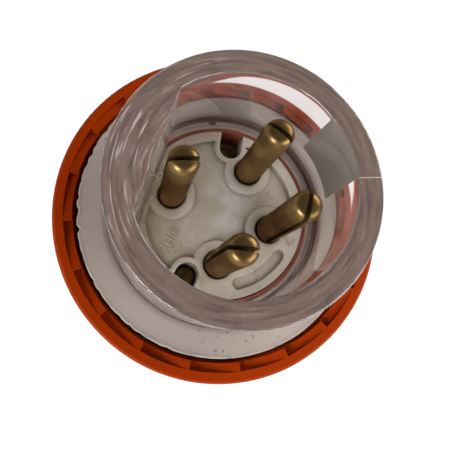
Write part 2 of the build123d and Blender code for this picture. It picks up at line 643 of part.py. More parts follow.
def gland_nut():
    """Fluted nut that squeezes the gland's seal; the plug stands on its flat end."""
    _, _, washer_end = gland_stack()
    z_claw_end = washer_end - CLAW_LENGTH
    claw_room_r = CLAW_TIP_R + CLAW_GAP
    body = turned([
        (NUT_HOLE_R, 0),
        (NUT_END_R - NUT_EDGE, 0),
        (NUT_END_R, NUT_EDGE),
        (NUT_R, NUT_TAPER_LENGTH),
        (NUT_R, NUT_LENGTH - NUT_EDGE),
        (NUT_R - NUT_EDGE, NUT_LENGTH),
        (NUT_THREAD_R, NUT_LENGTH),
        (NUT_THREAD_R, Z_SPIGOT_END - NUT_EDGE),
        (SEAL_SEAT_R, Z_SPIGOT_END - NUT_EDGE),
        (SEAL_SEAT_R, washer_end - CLAW_COLLAR),
        (claw_room_r, z_claw_end + CLAW_LENGTH * 0.6),
        (claw_room_r, z_claw_end),
        (NUT_HOLE_R, z_claw_end - NUT_EDGE),
    ])
    flute_circle = NUT_R - NUT_FLUTE_DEPTH + NUT_FLUTE_R
    flutes = [
        rod(NUT_FLUTE_R, NUT_FLUTE_START, NUT_LENGTH + 1, polar(flute_circle, turn * 360 / NUT_FLUTES))
        for turn in range(NUT_FLUTES)
    ]
    return body - flutes


def build_all():
    """Make every piece and write it to its own file."""
    os.makedirs("parts", exist_ok=True)
    save(front_shroud(), "front_shroud")
    save(shroud_label(), "shroud_label")
    save(coupling_ring(), "coupling_ring")
    save(face_gasket(), "face_gasket")
    save(shroud_seal(), "shroud_seal")
    save(pin_carrier(), "pin_carrier")
    for name, (angle, slot_angle) in PINS.items():
        save(pin(angle, slot_angle), name)
    number = 0
    for angle, _ in PINS.values():
        for height in CLAMP_SCREW_HEIGHTS:
            number += 1
            save(terminal_screw(angle, height), "terminal_screw_" + str(number))
    save(pin_retainer(), "pin_retainer")
    save(retainer_screw(), "retainer_screw")
    for name, angle in FIXINGS.items():
        save(carrier_screw(angle), name)
    save(rear_housing(), "rear_housing")
    save(gland_seal(), "gland_seal")
    save(gland_washer(), "gland_washer")
    save(gland_claw(), "gland_claw")
    save(gland_nut(), "gland_nut")


build_all()
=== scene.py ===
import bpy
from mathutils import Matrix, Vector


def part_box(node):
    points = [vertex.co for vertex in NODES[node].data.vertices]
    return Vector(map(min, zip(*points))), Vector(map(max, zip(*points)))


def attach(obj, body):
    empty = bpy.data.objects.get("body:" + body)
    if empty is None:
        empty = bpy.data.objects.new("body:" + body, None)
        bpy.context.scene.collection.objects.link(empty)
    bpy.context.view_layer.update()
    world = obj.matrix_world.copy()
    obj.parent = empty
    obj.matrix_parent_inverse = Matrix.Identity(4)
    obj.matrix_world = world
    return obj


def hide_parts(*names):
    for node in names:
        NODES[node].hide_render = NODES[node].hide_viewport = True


bl_info = {
    "name": "Waterproof plug dressing",
    "version": (1, 0, 0),
    "blender": (4, 5, 0),
    "location": "3D View > Sidebar > Plug",
    "description": "Dresses a four-pin waterproof plug: skirt, gasket, thread, marks, finishes and stage",
    "category": "Object",
}

import math

import bmesh
import bpy
from bpy.props import FloatProperty, FloatVectorProperty, PointerProperty
from mathutils import Euler, Matrix, Vector, noise

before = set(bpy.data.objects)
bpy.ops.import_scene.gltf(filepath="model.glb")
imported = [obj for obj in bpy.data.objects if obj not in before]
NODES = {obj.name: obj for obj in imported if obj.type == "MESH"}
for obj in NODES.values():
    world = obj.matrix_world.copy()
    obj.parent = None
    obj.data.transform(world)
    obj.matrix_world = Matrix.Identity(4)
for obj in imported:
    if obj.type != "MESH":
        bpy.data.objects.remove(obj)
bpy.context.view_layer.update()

MM = 0.001
BODY = "plug_body"
RING_BODY = "coupling_ring_body"

# Places read from the frame, in metres
SKIRT_LOW, SKIRT_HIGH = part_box("front_shroud")
RING_LOW, RING_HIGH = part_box("coupling_ring")
GASKET_LOW, GASKET_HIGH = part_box("face_gasket")
FACE_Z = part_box("pin_carrier")[1].z
PIN_TIP_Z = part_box("line_pin_2")[1].z

# Places that the finishes and marks need, in metres and radians round the axis
SKIRT_POLISH_R = 27.4 * MM  # just inside the skirt's outer face, which handling has polished
TUBE_BORE_R = 24.0 * MM  # bore of the body's inner tube, which guides the carrier
TUBE_PAINTED_LIGHT_Z = 72.0 * MM  # the bore is painted paler and pinker above this height, as painted light
POCKET_DEPTH = 1.0 * MM  # sunk pockets in the carrier's face
SEAM_ANGLE = 0.385  # mould's parting line on the skirt's rim, beside the label
SEAM_HALF_WIDTH = 0.004
WORN_ANGLE = math.radians(215.0)  # middle of the gasket's worn side

# Moulded letters: name, text, first and last place in mm, height in mm, on a pocket's floor or not
LETTERS = (
    ("mark_20A", "20A", (11.4, 9.4), (7.4, 5.3), 2.1, True),
    ("mark_50Hz", "50Hz", (-9.1, -6.9), (-10.2, -13.6), 2.4, True),
    ("mark_L1", "L1", (1.9, -16.8), (2.95, -19.9), 2.3, False),
    ("mark_L2", "L2", (17.8, 0.8), (20.2, -1.4), 1.9, False),
)

# Bars of the moulded signs: middle, width and height of each, in shares of the sign
EARTH_BARS = (
    (0.0, 0.45, 0.12, 0.9),
    (0.0, 0.0, 1.0, 0.14),
    (0.0, -0.25, 0.64, 0.14),
    (0.0, -0.5, 0.3, 0.14),
)
SQUARE_BARS = (
    (0.0, 0.5, 1.0, 0.2),
    (0.0, -0.5, 1.0, 0.2),
    (-0.42, 0.0, 0.16, 1.0),
    (0.42, 0.0, 0.16, 1.0),
)

# Moulded signs: name, first and last place in mm, height in mm, bars
SIGNS = (
    ("mark_earth", (-16.6, -1.5), (-17.2, -3.6), 2.0, EARTH_BARS),
    ("mark_square", (-17.0, 4.3), (-17.8, 2.7), 1.5, SQUARE_BARS),
)


def srgb(code, alpha=1.0):
    """Colour from an sRGB hex code, in the linear light that shaders use."""
    parts = [int(code[i : i + 2], 16) / 255 for i in (0, 2, 4)]
    linear = [c / 12.92 if c <= 0.04045 else ((c + 0.055) / 1.055) ** 2.4 for c in parts]
    return (*linear, alpha)


def darker(colour, share):
    """A colour with a share of its light."""
    return [c * share for c in colour[:3]] + [1.0]


def grey(value):
    """Neutral colour."""
    return (value, value, value, 1.0)


def scale_for(size_mm):
    """Texture scale that gives features of a size in millimetres."""
    return 1.0 / (size_mm * MM)


def add(tree, kind, inputs=None, stops=(), **settings):
    """Add a node with its settings and links; an input is a value or another node's output.

    A colour ramp also takes its stops, each a place from 0 to 1 and a colour.
    """
    made = tree.nodes.new(kind)
    for key, value in settings.items():
        setattr(made, key, value)
    while stops and len(made.color_ramp.elements) < len(stops):
        made.color_ramp.elements.new(0.5)
    for i, (place, colour) in enumerate(stops):
        made.color_ramp.elements[i].position = place
        made.color_ramp.elements[i].color = colour
    for key, value in (inputs or {}).items():
        socket = made.inputs[key]
        if isinstance(value, bpy.types.NodeSocket):
            tree.links.new(value, socket)
        else:
            socket.default_value = value
    return made


def new_material(name):
    """Empty material with its output node."""
    material = bpy.data.materials.new(name)
    material.use_nodes = True
    tree = material.node_tree
    tree.nodes.clear()
    output = tree.nodes.new("ShaderNodeOutputMaterial")
    return material, tree, output


def speckle(tree, coords, spacing_mm, amount):
    """Mask of small, ragged specks that lie in clusters, a spacing apart; 1 on a speck."""
    ragged = add(
        tree,
        "ShaderNodeTexNoise",
        {"Vector": coords, "Scale": scale_for(spacing_mm / 4), "Detail": 2.0},
    )
    pull = add(
        tree,
        "ShaderNodeVectorMath",
        {0: ragged.outputs["Color"], "Scale": 0.55 * spacing_mm * MM},
        operation="SCALE",
    )
    bent = add(tree, "ShaderNodeVectorMath", {0: coords, 1: pull.outputs[0]}, operation="ADD")
    cells = add(
        tree,
        "ShaderNodeTexVoronoi",
        {"Vector": bent.outputs[0], "Scale": scale_for(spacing_mm), "Randomness": 1.0},
    )
    field = add(
        tree,
        "ShaderNodeTexNoise",
        {"Vector": coords, "Scale": scale_for(spacing_mm / 0.14), "Detail": 2.0},
    )
    near = add(
        tree,
        "ShaderNodeValToRGB",
        {"Fac": cells.outputs["Distance"]},
        stops=[(0.10, grey(1.0)), (0.20, grey(0.0))],
    )
    rare = add(
        tree,
        "ShaderNodeValToRGB",
        {"Fac": field.outputs["Fac"]},
        stops=[(1.0 - amount, grey(0.0)), (1.06 - amount, grey(1.0))],
    )
    both = add(
        tree, "ShaderNodeMath", {0: near.outputs[0], 1: rare.outputs[0]}, operation="MULTIPLY"
    )
    return both.outputs[0]


def ring_mask(tree, coords, radius, soft):
    """1 nearer to the axis than a radius, 0 beyond it, with a soft step; metres."""
    flat = add(tree, "ShaderNodeVectorMath", {0: coords, 1: (1.0, 1.0, 0.0)}, operation="MULTIPLY")
    reach = add(tree, "ShaderNodeVectorMath", {0: flat.outputs[0]}, operation="LENGTH")
    step = add(
        tree,
        "ShaderNodeMapRange",
        {
            "Value": reach.outputs["Value"],
            "From Min": radius - soft,
            "From Max": radius + soft,
            "To Min": 1.0,
            "To Max": 0.0,
        },
    )
    return step.outputs[0]


def polar_streaks(tree, coords, per_radian, width_mm):
    """Noise drawn out round the axis, as flow marks lie on the rim, and the angle round it."""
    parts = add(tree, "ShaderNodeSeparateXYZ", {"Vector": coords})
    flat = add(tree, "ShaderNodeCombineXYZ", {"X": parts.outputs["X"], "Y": parts.outputs["Y"]})
    radius = add(tree, "ShaderNodeVectorMath", {0: flat.outputs[0]}, operation="LENGTH")
    angle = add(
        tree, "ShaderNodeMath", {0: parts.outputs["Y"], 1: parts.outputs["X"]}, operation="ARCTAN2"
    )
    along = add(tree, "ShaderNodeMath", {0: angle.outputs[0], 1: per_radian}, operation="MULTIPLY")
    across = add(
        tree,
        "ShaderNodeMath",
        {0: radius.outputs["Value"], 1: scale_for(width_mm)},
        operation="MULTIPLY",
    )
    drawn = add(tree, "ShaderNodeCombineXYZ", {"X": along.outputs[0], "Y": across.outputs[0]})
    streaks = add(
        tree, "ShaderNodeTexNoise", {"Vector": drawn.outputs[0], "Scale": 1.0, "Detail": 3.0}
    )
    return streaks, angle.outputs[0]


def clear_polycarbonate(name, tint, haze_colour, haze, streaked):
    """Injection-moulded clear polycarbonate, a little smoky: sharp refraction with a milky haze."""
    material, tree, output = new_material(name)
    coords = add(tree, "ShaderNodeTexCoord").outputs["Object"]
    if streaked:
        marks, angle = polar_streaks(tree, coords, 2.5, 0.91)
        strength = 0.05
    else:
        across, along = scale_for(3.85), scale_for(11.1)
        stretch = add(
            tree, "ShaderNodeMapping", {"Vector": coords, "Scale": (across, across, along)}
        )
        marks = add(
            tree, "ShaderNodeTexNoise", {"Vector": stretch.outputs[0], "Scale": 1.0, "Detail": 3.0}
        )
        strength = 0.015
    bump = add(
        tree,
        "ShaderNodeBump",
        {"Strength": strength, "Distance": 0.3 * MM, "Height": marks.outputs["Fac"]},
    )
    clear = add(
        tree,
        "ShaderNodeBsdfPrincipled",
        {
            "Base Color": srgb("F6F1F0"),
            "Roughness": 0.03,
            "IOR": 1.585,
            "Transmission Weight": 1.0,
            "Normal": bump.outputs[0],
        },
    )
    share = add(
        tree,
        "ShaderNodeMapRange",
        {
            "Value": marks.outputs["Fac"],
            "From Min": 0.35,
            "From Max": 0.6,
            "To Min": haze * 0.6,
            "To Max": haze,
        },
    )
    amount, milky = share.outputs[0], haze_colour
    if streaked:
        amount, milky = rim_marks(tree, coords, angle, amount, haze_colour)
    else:
        within = ring_mask(tree, coords, SKIRT_POLISH_R, 0.1 * MM)
        polish = add(tree, "ShaderNodeMapRange", {"Value": within, "To Min": 0.2, "To Max": 1.0})
        polished = add(
            tree, "ShaderNodeMath", {0: amount, 1: polish.outputs[0]}, operation="MULTIPLY"
        )
        amount = polished.outputs[0]
    milk = add(tree, "ShaderNodeBsdfDiffuse", {"Color": milky, "Normal": bump.outputs[0]})
    both = add(tree, "ShaderNodeMixShader", {0: amount, 1: clear.outputs[0], 2: milk.outputs[0]})
    # The density is per metre, so a wall of 4 mm takes only a breath of the tint
    smoke = add(tree, "ShaderNodeVolumeAbsorption", {"Color": tint, "Density": 14.0})
    tree.links.new(both.outputs[0], output.inputs["Surface"])
    tree.links.new(smoke.outputs[0], output.inputs["Volume"])
    return material


def rim_marks(tree, coords, angle, amount, haze_colour):
    """Fine scuffs on the rim and the mould's parting line across it; the scuffs are real wear, and their
    paler colour on the key side is a painted highlight.
    """
    # Real scuffs are finer than 0.1 mm, and these are drawn wider so that they show in the render
    scuffs, _ = polar_streaks(tree, coords, 3.5, 0.4545)
    bright = add(
        tree,
        "ShaderNodeValToRGB",
        {"Fac": scuffs.outputs["Fac"]},
        stops=[(0.57, grey(0.0)), (0.70, grey(1.0))],
    )
    sideways = add(tree, "ShaderNodeSeparateXYZ", {"Vector": coords}).outputs["X"]
    # Painted highlight: the scuffs are paler and denser on the key side, where the key light catches them
    side = add(
        tree,
        "ShaderNodeMapRange",
        {
            "Value": sideways,
            "From Min": -22.0 * MM,
            "From Max": -4.0 * MM,
            "To Min": 0.45,
            "To Max": 0.1,
        },
    )
    scuffs_and_highlight = add(
        tree, "ShaderNodeMath", {0: bright.outputs[0], 1: side.outputs[0]}, operation="MULTIPLY"
    )
    seam = add(
        tree, "ShaderNodeMath", {0: angle, 1: SEAM_ANGLE, 2: SEAM_HALF_WIDTH}, operation="COMPARE"
    )
    faint = add(tree, "ShaderNodeMath", {0: seam.outputs[0], 1: 0.45}, operation="MULTIPLY")
    lines = add(
        tree, "ShaderNodeMath", {0: scuffs_and_highlight.outputs[0], 1: faint.outputs[0]}, operation="MAXIMUM"
    )
    milky = add(
        tree,
        "ShaderNodeMix",
        {"Factor": lines.outputs[0], "A": haze_colour, "B": srgb("D9CFCB")},
        data_type="RGBA",
    )
    more = add(
        tree,
        "ShaderNodeMath",
        {0: lines.outputs[0], 1: 0.35, 2: amount},
        operation="MULTIPLY_ADD",
        use_clamp=True,
    )
    return more.outputs[0], milky.outputs["Result"]


def orange_polycarbonate(colour):
    """Moulded orange polycarbonate: saturated satin plastic, painted paler and pinker in the tube's bore
    as painted light.
    """
    material, tree, output = new_material("moulded_orange_polycarbonate")
    coords = add(tree, "ShaderNodeTexCoord").outputs["Object"]
    cloud = add(
        tree, "ShaderNodeTexNoise", {"Vector": coords, "Scale": scale_for(16.7), "Detail": 3.0}
    )
    tone = add(
        tree,
        "ShaderNodeMix",
        {"Factor": cloud.outputs["Fac"], "A": colour, "B": darker(colour, 0.82)},
        data_type="RGBA",
    )
    # Painted light: above a height, the shaded bore of the tube is mixed towards a pale pinkish tone that
    # stands in for light shining through the plastic
    within = ring_mask(tree, coords, TUBE_BORE_R, 0.3 * MM)
    height = add(tree, "ShaderNodeSeparateXYZ", {"Vector": coords}).outputs["Z"]
    above = add(tree, "ShaderNodeMath", {0: height, 1: TUBE_PAINTED_LIGHT_Z}, operation="GREATER_THAN")
    inside = add(tree, "ShaderNodeMath", {0: within, 1: above.outputs[0]}, operation="MULTIPLY")
    share = add(tree, "ShaderNodeMath", {0: inside.outputs[0], 1: 0.85}, operation="MULTIPLY")
    bore_painted_light = add(
        tree,
        "ShaderNodeMix",
        {"Factor": share.outputs[0], "A": tone.outputs["Result"], "B": srgb("96584C")},
        data_type="RGBA",
    )
    # A mould's grain is finer than 0.1 mm, and this is drawn coarser so that it shows in the render
    grain = add(
        tree, "ShaderNodeTexNoise", {"Vector": coords, "Scale": scale_for(0.5556), "Detail": 2.0}
    )
    bump = add(
        tree,
        "ShaderNodeBump",
        {"Strength": 0.12, "Distance": 0.1 * MM, "Height": grain.outputs["Fac"]},
    )
    body = add(
        tree,
        "ShaderNodeBsdfPrincipled",
        {
            "Base Color": bore_painted_light.outputs["Result"],
            "Roughness": 0.45,
            "IOR": 1.5,
            "Specular IOR Level": 0.14,
            "Specular Tint": srgb("E09868"),
            "Normal": bump.outputs[0],
        },
    )
    tree.links.new(body.outputs[0], output.inputs["Surface"])
    return material


def moulded_rubber(name, code, grain_mm=0.35):
    """Moulded sealing rubber: matt, slightly uneven, with a few dark specks of dust."""
    material, tree, output = new_material(name)
    coords = add(tree, "ShaderNodeTexCoord").outputs["Object"]
    base = srgb(code)
    cloud = add(
        tree, "ShaderNodeTexNoise", {"Vector": coords, "Scale": scale_for(22.2), "Detail": 4.0}
    )
    tone = add(
        tree,
        "ShaderNodeMix",
        {"Factor": cloud.outputs["Fac"], "A": base, "B": darker(base, 0.86)},
        data_type="RGBA",
    )
    specks = speckle(tree, coords, 2.2, 0.42)
    dirt = add(
        tree,
        "ShaderNodeMix",
        {"Factor": specks, "A": tone.outputs["Result"], "B": srgb("5A4A40")},
        data_type="RGBA",
    )
    # The grain of such rubber is about 0.05 mm, and it is drawn coarser so that it shows
    grain = add(
        tree, "ShaderNodeTexNoise", {"Vector": coords, "Scale": scale_for(grain_mm), "Detail": 2.0}
    )
    bump = add(
        tree,
        "ShaderNodeBump",
        {"Strength": 0.15, "Distance": 0.1 * MM, "Height": grain.outputs["Fac"]},
    )
    body = add(
        tree,
        "ShaderNodeBsdfPrincipled",
        {
            "Base Color": dirt.outputs["Result"],
            "Roughness": 0.62,
            "IOR": 1.5,
            "Normal": bump.outputs[0],
        },
    )
    tree.links.new(body.outputs[0], output.inputs["Surface"])
    return material


def moulded_thermoset(colour):
    """Pressed thermoset: dull grey-beige, glossier patches with a painted pale sheen, painted shade in
    the corners and towards the left, and specks.
    """
    material, tree, output = new_material("moulded_beige_thermoset")
    coords = add(tree, "ShaderNodeTexCoord").outputs["Object"]
    cloud = add(
        tree, "ShaderNodeTexNoise", {"Vector": coords, "Scale": scale_for(9.09), "Detail": 4.0}
    )
    tone = add(
        tree,
        "ShaderNodeMix",
        {"Factor": cloud.outputs["Fac"], "A": colour, "B": darker(colour, 0.80)},
        data_type="RGBA",
    )
    # Painted shade: towards the left, where the rim shades the face, the colour is mixed towards a darker
    # yellow-brown
    sideways = add(tree, "ShaderNodeSeparateXYZ", {"Vector": coords}).outputs["X"]
    yellowed = add(
        tree,
        "ShaderNodeMapRange",
        {
            "Value": sideways,
            "From Min": -17.0 * MM,
            "From Max": 1.0 * MM,
            "To Min": 0.5,
            "To Max": 0.0,
        },
    )
    left_shaded = add(
        tree,
        "ShaderNodeMix",
        {"Factor": yellowed.outputs[0], "A": tone.outputs["Result"], "B": srgb("887753")},
        data_type="RGBA",
    )
    rubbed = add(
        tree, "ShaderNodeTexNoise", {"Vector": coords, "Scale": scale_for(10.53), "Detail": 3.0}
    )
    gloss_and_sheen = add(
        tree,
        "ShaderNodeValToRGB",
        {"Fac": rubbed.outputs["Fac"]},
        stops=[(0.42, grey(0.0)), (0.60, grey(1.0))],
    )
    # Rubbed patches lie between the pins, and fade towards the pin circle; they are glossier, and their
    # whitish colour is a painted sheen
    middle = ring_mask(tree, coords, 8.5 * MM, 5.5 * MM)
    centre = add(tree, "ShaderNodeMath", {0: gloss_and_sheen.outputs[0], 1: middle}, operation="MULTIPLY")
    sheen_share = add(tree, "ShaderNodeMath", {0: centre.outputs[0], 1: 0.7}, operation="MULTIPLY")
    pale = add(
        tree,
        "ShaderNodeMix",
        {"Factor": sheen_share.outputs[0], "A": left_shaded.outputs["Result"], "B": srgb("ECECEE")},
        data_type="RGBA",
    )
    rounded = add(tree, "ShaderNodeBevel", {"Radius": 0.6 * MM}, samples=8)
    corner = add(
        tree,
        "ShaderNodeAmbientOcclusion",
        {"Distance": 2.2 * MM, "Normal": rounded.outputs[0]},
        samples=8,
    )
    # Painted shade: the face is darkened where ambient occlusion finds corners and pocket walls
    corner_shade = add(
        tree,
        "ShaderNodeValToRGB",
        {"Fac": corner.outputs["AO"]},
        stops=[(0.45, grey(0.75)), (0.92, grey(0.0))],
    )
    worn = add(
        tree,
        "ShaderNodeMix",
        {"Factor": corner_shade.outputs[0], "A": pale.outputs["Result"], "B": srgb("7A6A52")},
        data_type="RGBA",
    )
    # The noise is read a little aside, which chooses where the clusters of specks fall
    aside = (13.0 * MM, 21.0 * MM, 0.0)
    shifted = add(tree, "ShaderNodeVectorMath", {0: coords, 1: aside}, operation="ADD")
    specks = speckle(tree, shifted.outputs[0], 1.0, 0.47)
    dirt = add(
        tree,
        "ShaderNodeMix",
        {"Factor": specks, "A": worn.outputs["Result"], "B": srgb("6B573E")},
        data_type="RGBA",
    )
    grain = add(
        tree, "ShaderNodeTexNoise", {"Vector": coords, "Scale": scale_for(3.03), "Detail": 3.0}
    )
    bump = add(
        tree,
        "ShaderNodeBump",
        {
            "Strength": 0.16,
            "Distance": 0.3 * MM,
            "Height": grain.outputs["Fac"],
            "Normal": rounded.outputs[0],
        },
    )
    rough = add(
        tree, "ShaderNodeMapRange", {"Value": gloss_and_sheen.outputs[0], "To Min": 0.46, "To Max": 0.27}
    )
    body = add(
        tree,
        "ShaderNodeBsdfPrincipled",
        {
            "Base Color": dirt.outputs["Result"],
            "Roughness": rough.outputs[0],
            "IOR": 1.55,
            "Normal": bump.outputs[0],
        },
    )
    tree.links.new(body.outputs[0], output.inputs["Surface"])
    return material


def turned_brass(colour):
    """Turned brass, handled and tarnished: lathe lines, brown patches, painted shade on the tips and in
    the slots.
    """
    material, tree, output = new_material("turned_brass")
    coords = add(tree, "ShaderNodeTexCoord").outputs["Object"]
    cloud = add(
        tree, "ShaderNodeTexNoise", {"Vector": coords, "Scale": scale_for(6.25), "Detail": 5.0}
    )
    patches = add(
        tree,
        "ShaderNodeValToRGB",
        {"Fac": cloud.outputs["Fac"]},
        stops=[(0.38, grey(0.0)), (0.68, grey(1.0))],
    )
    tone = add(
        tree,
        "ShaderNodeMix",
        {"Factor": patches.outputs[0], "A": colour, "B": srgb("5E4928")},
        data_type="RGBA",
    )
    # Painted shade: the dome of each tip is darkened towards its end
    height = add(tree, "ShaderNodeSeparateXYZ", {"Vector": coords}).outputs["Z"]
    tip_shade = add(
        tree,
        "ShaderNodeMapRange",
        {
            "Value": height,
            "From Min": PIN_TIP_Z - 1.8 * MM,
            "From Max": PIN_TIP_Z - 0.3 * MM,
            "To Min": 0.0,
            "To Max": 0.85,
        },
    )
    tip_shaded = add(
        tree,
        "ShaderNodeMix",
        {"Factor": tip_shade.outputs[0], "A": tone.outputs["Result"], "B": srgb("45351D")},
        data_type="RGBA",
    )
    # Painted shade: the pin is darkened in its slot and beside the carrier, where ambient occlusion finds
    # it hidden
    hidden = add(tree, "ShaderNodeAmbientOcclusion", {"Distance": 1.2 * MM}, samples=8)
    slot_shade = add(
        tree,
        "ShaderNodeValToRGB",
        {"Fac": hidden.outputs["AO"]},
        stops=[(0.30, grey(0.9)), (0.75, grey(0.0))],
    )
    slot_shaded = add(
        tree,
        "ShaderNodeMix",
        {"Factor": slot_shade.outputs[0], "A": tip_shaded.outputs["Result"], "B": srgb("20140A")},
        data_type="RGBA",
    )
    # Lathe lines lie about 0.05 mm apart, and these are drawn at 0.19 mm so that they show
    round_pin, feed = scale_for(16.7), scale_for(0.1923)
    stretch = add(
        tree, "ShaderNodeMapping", {"Vector": coords, "Scale": (round_pin, round_pin, feed)}
    )
    lathe = add(
        tree, "ShaderNodeTexNoise", {"Vector": stretch.outputs[0], "Scale": 1.0, "Detail": 2.0}
    )
    bump = add(
        tree,
        "ShaderNodeBump",
        {"Strength": 0.08, "Distance": 0.1 * MM, "Height": lathe.outputs["Fac"]},
    )
    rough = add(
        tree,
        "ShaderNodeMapRange",
        {"Value": cloud.outputs["Fac"], "To Min": 0.25, "To Max": 0.41},
    )
    body = add(
        tree,
        "ShaderNodeBsdfPrincipled",
        {
            "Base Color": slot_shaded.outputs["Result"],
            "Metallic": 0.8,
            "Roughness": rough.outputs[0],
            "Specular Tint": srgb("B08A4A"),
            "Normal": bump.outputs[0],
        },
    )
    tree.links.new(body.outputs[0], output.inputs["Surface"])
    return material


def plain_finish(name, code, roughness, metallic=0.0, grain_mm=0.4, strength=0.1):
    """Finish of a simple part: one colour, slightly cloudy, with a grain coarse enough to show."""
    material, tree, output = new_material(name)
    coords = add(tree, "ShaderNodeTexCoord").outputs["Object"]
    base = srgb(code)
    cloud = add(
        tree, "ShaderNodeTexNoise", {"Vector": coords, "Scale": scale_for(6.67), "Detail": 3.0}
    )
    tone = add(
        tree,
        "ShaderNodeMix",
        {"Factor": cloud.outputs["Fac"], "A": base, "B": darker(base, 0.8)},
        data_type="RGBA",
    )
    grain = add(
        tree, "ShaderNodeTexNoise", {"Vector": coords, "Scale": scale_for(grain_mm), "Detail": 2.0}
    )
    bump = add(
        tree,
        "ShaderNodeBump",
        {"Strength": strength, "Distance": 0.1 * MM, "Height": grain.outputs["Fac"]},
    )
    body = add(
        tree,
        "ShaderNodeBsdfPrincipled",
        {
            "Base Color": tone.outputs["Result"],
            "Metallic": metallic,
            "Roughness": roughness,
            "Normal": bump.outputs[0],
        },
    )
    tree.links.new(body.outputs[0], output.inputs["Surface"])
    return material


def dress(node, material):
    """Give a CAD node one finish."""
    mesh = NODES[node].data
    mesh.materials.clear()
    mesh.materials.append(material)


def link_piece(name, mesh, material, body=BODY):
    """Put a mesh in the scene as a piece of the plug."""
    piece = bpy.data.objects.new(name, mesh)
    bpy.context.scene.collection.objects.link(piece)
    mesh.materials.append(material)
    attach(piece, body)
    return piece


def shell_mesh(name, levels, sharp_deg):
    """Closed skin round the axis: each level gives (radius, height) for an angle in degrees."""
    angles = [i * 0.5 for i in range(720)]
    bm = bmesh.new()
    rows = []
    for level in levels:
        row = []
        for angle in angles:
            radius, height = level(angle)
            turn = math.radians(angle)
            row.append(bm.verts.new((radius * math.cos(turn), radius * math.sin(turn), height)))
        rows.append(row)
    count = len(angles)
    for this, after in zip(rows, rows[1:] + rows[:1]):
        for i in range(count):
            j = (i + 1) % count
            bm.faces.new((this[i], this[j], after[j], after[i]))
    bmesh.ops.recalc_face_normals(bm, faces=bm.faces)
    mesh = bpy.data.meshes.new(name)
    bm.to_mesh(mesh)
    bm.free()
    mesh.shade_smooth()
    mesh.set_sharp_from_angle(angle=math.radians(sharp_deg))
    return mesh


def steady(radius, height):
    """Level of a plain turned shape."""
    return lambda angle: (radius, height)


def rounded_corner(centre_r, centre_z, radius, start, end, steps=5):
    """Levels that round an edge, from one direction to another in degrees."""
    made = []
    for i in range(steps + 1):
        turn = math.radians(start + (end - start) * i / steps)
        made.append(steady(centre_r + radius * math.cos(turn), centre_z + radius * math.sin(turn)))
    return made


def bars_mesh(name, bars):
    """Flat sign of bars, each given by its middle, width and height in shares of the sign."""
    bm = bmesh.new()
    for x, y, width, height in bars:
        place = Matrix.Translation((x, y, 0.0)) @ Matrix.Diagonal((width, height, 1.0, 1.0))
        bmesh.ops.create_cube(bm, size=1.0, matrix=place)
    mesh = bpy.data.meshes.new(name)
    bm.to_mesh(mesh)
    bm.free()
    return mesh


class PlugSizes(bpy.types.PropertyGroup):
    """Sizes and colours of the dressed plug"""

    bore: FloatProperty(
        name="Bore radius",
        description="Radius of the skirt's bore at its root",
        default=24.0 * MM,
        unit="LENGTH",
    )
    bore_taper: FloatProperty(
        name="Bore taper",
        description="How much narrower the bore is at the rim",
        default=1.4 * MM,
        unit="LENGTH",
    )
    bore_flat: FloatProperty(
        name="Key flat",
        description="Distance from the axis to the key flat in the bore",
        default=18.5 * MM,
        unit="LENGTH",
    )
    contact: FloatProperty(
        name="Contact",
        description="How far the clear plastic presses into what touches it",
        default=0.05 * MM,
        unit="LENGTH",
    )
    skirt_radius: FloatProperty(
        name="Skirt radius",
        description="Outside radius of the skirt",
        default=27.85 * MM,
        unit="LENGTH",
    )
    edge_round: FloatProperty(
        name="Edge radius",
        description="Rounding of the skirt's rim",
        default=0.5 * MM,
        unit="LENGTH",
    )
    smoke: FloatVectorProperty(
        name="Smoke tint",
        description="Colour that the clear plastic takes in depth",
        subtype="COLOR",
        size=4,
        min=0.0,
        max=1.0,
        default=srgb("C4ABA6"),
    )
    wall_haze: FloatProperty(
        name="Wall haze",
        description="Milky share of the skirt's walls",
        subtype="FACTOR",
        default=0.08,
        min=0.0,
        max=1.0,
    )
    rim_haze: FloatProperty(
        name="Rim haze",
        description="Milky share of the skirt's end face",
        subtype="FACTOR",
        default=0.54,
        min=0.0,
        max=1.0,
    )
    # Painted light: the foot's pale, nearly opaque milk stands in for light that comes through the clear
    # plastic
    foot_painted_light: FloatProperty(
        name="Foot haze",
        description="Milky share of the light_painted faces that the skirt stands on",
        subtype="FACTOR",
        default=0.85,
        min=0.0,
        max=1.0,
    )
    rim_colour: FloatVectorProperty(
        name="Rim colour",
        description="Colour of the light scattered by the skirt's end face",
        subtype="COLOR",
        size=4,
        min=0.0,
        max=1.0,
        default=srgb("78665F"),
    )
    orange: FloatVectorProperty(
        name="Orange",
        description="Colour of the ring, the body and the nut",
        subtype="COLOR",
        size=4,
        min=0.0,
        max=1.0,
        default=srgb("762200"),
    )
    beige: FloatVectorProperty(
        name="Beige",
        description="Colour of the pin carrier",
        subtype="COLOR",
        size=4,
        min=0.0,
        max=1.0,
        default=srgb("CAC2B4"),
    )
    brass: FloatVectorProperty(
        name="Brass",
        description="Colour of the pins",
        subtype="COLOR",
        size=4,
        min=0.0,
        max=1.0,
        default=srgb("8E764E"),
    )
    thread_pitch: FloatProperty(
        name="Thread pitch",
        description="Rise of each thread of the ring in one turn",
        default=3.0 * MM,
        unit="LENGTH",
    )
    mark_rise: FloatProperty(
        name="Mark height",
        description="How far the moulded marks stand out",
        default=0.2 * MM,
        unit="LENGTH",
    )
    gasket_wave: FloatProperty(
        name="Gasket wave",
        description="How uneven the gasket's outer edge is",
        default=0.22 * MM,
        unit="LENGTH",
    )
    gasket_tear: FloatProperty(
        name="Gasket tear",
        description="How deep the small tears in the gasket's worn side are",
        default=1.0 * MM,
        unit="LENGTH",
    )


